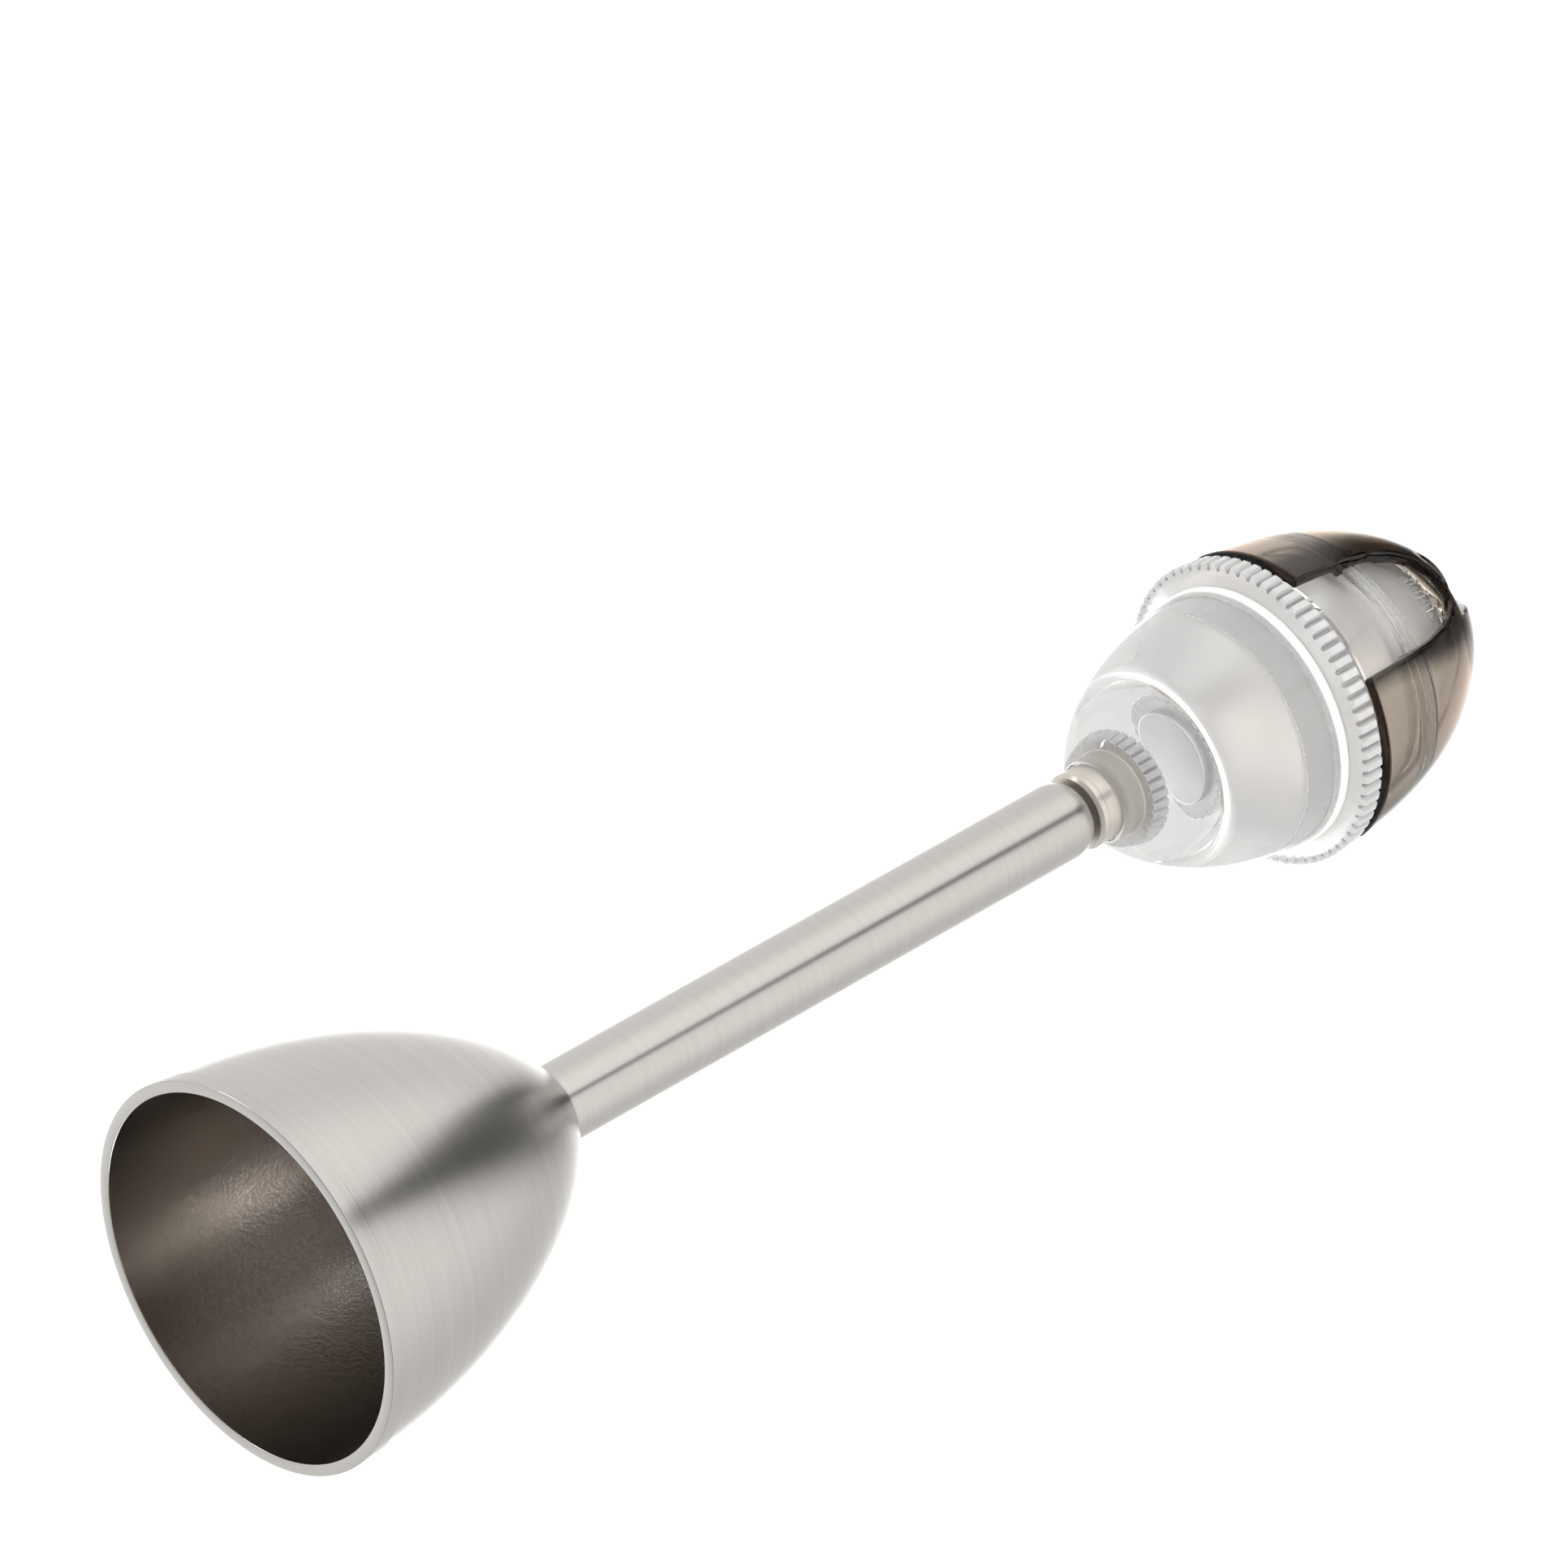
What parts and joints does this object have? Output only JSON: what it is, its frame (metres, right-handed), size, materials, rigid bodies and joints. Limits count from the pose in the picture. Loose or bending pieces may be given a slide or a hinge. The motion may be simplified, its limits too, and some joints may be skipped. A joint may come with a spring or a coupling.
{
  "type": "egg topper with salt shaker",
  "caption": "Spring-hammer egg topper: a steel cup on a thin tube, pulled by a clear salt shaker handle with a windowed smoke cap.",
  "frame": {"origin": "centre of the cup's mouth, on the plane that the rim stands on", "axes": "+Z along the tool's axis from the cup's mouth to the smoke cap; -Y faces the window seen from the front"},
  "size_m": [0.04, 0.04, 0.1625],
  "materials": {
    "cup_steel": "brushed round the axis",
    "tube_steel": "brushed round the axis",
    "plain_steel": "turned",
    "spring_steel": "drawn wire",
    "collar_nickel": "satin nickel",
    "bush_plastic": "moulded",
    "seal_silicone": "translucent white",
    "clear_acrylic": "polished clear moulding",
    "smoke_acrylic": "polished smoke moulding"
  },
  "bodies": {
    "cup": {"bell_cup": "cup_steel", "anvil_plug": "plain_steel", "guide_tube": "tube_steel", "end_bush": "bush_plastic", "upper_spring_washer": "plain_steel", "drive_spring": "spring_steel"},
    "handle": {"lower_spring_washer": "plain_steel", "hammer": "plain_steel", "hammer_pin": "plain_steel", "plunger_rod": "plain_steel", "collar": "collar_nickel", "salt_bowl": "clear_acrylic"},
    "shaker_top": {"seal_ring": "seal_silicone", "knurled_ring": "clear_acrylic", "salt_chamber": "clear_acrylic", "sieve_dome": "clear_acrylic"},
    "window_cap": {"smoke_cap": "smoke_acrylic"}
  },
  "joints": [
    {"name": "handle_pull", "type": "slide", "parent": "cup", "child": "handle", "axis": [0, 0, 1], "range_m": [0, 0.018], "stiffness_N_per_m": 350, "springref_m": -0.02, "deforming": ["drive_spring"]},
    {"name": "shaker_pull_off", "type": "slide", "parent": "handle", "child": "shaker_top", "axis": [0, 0, 1], "range_m": [0, 0.02]},
    {"name": "cap_turn", "type": "hinge", "parent": "shaker_top", "child": "window_cap", "pos_m": [0, 0, 0.15], "axis": [0, 0, 1], "continuous": true}
  ]
}
